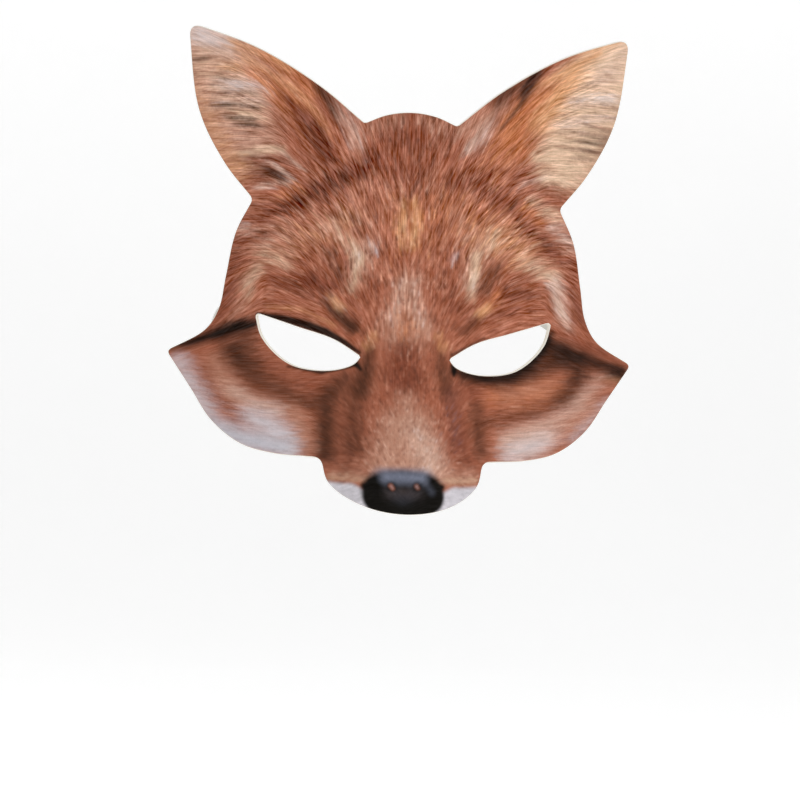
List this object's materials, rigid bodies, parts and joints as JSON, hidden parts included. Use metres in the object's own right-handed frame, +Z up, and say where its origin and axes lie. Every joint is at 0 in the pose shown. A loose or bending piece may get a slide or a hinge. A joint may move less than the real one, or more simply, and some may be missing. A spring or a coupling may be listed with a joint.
{
  "type": "fox mask",
  "caption": "Child's half mask of a fox's face in printed foam sheet, with ears, eye holes, cheek flaps and a raised muzzle, worn on a flat elastic band",
  "frame": {"origin": "on the wearer's nose root, level with the inner corners of the eye holes, just behind the inside of the sheet", "axes": "+X to the wearer's left, +Y back through the head, +Z up; the fox's face looks along -Y"},
  "size_m": [0.1712, 0.2176, 0.175],
  "materials": {
    "printed_foam": "matt fur print on a soft pale foam sheet, bare foam at the cut edges and on the inside",
    "elastic": "flat woven elastic, off-white"
  },
  "bodies": {
    "root": {"mask_shell": "printed_foam", "elastic_band": "elastic"}
  },
  "joints": []
}
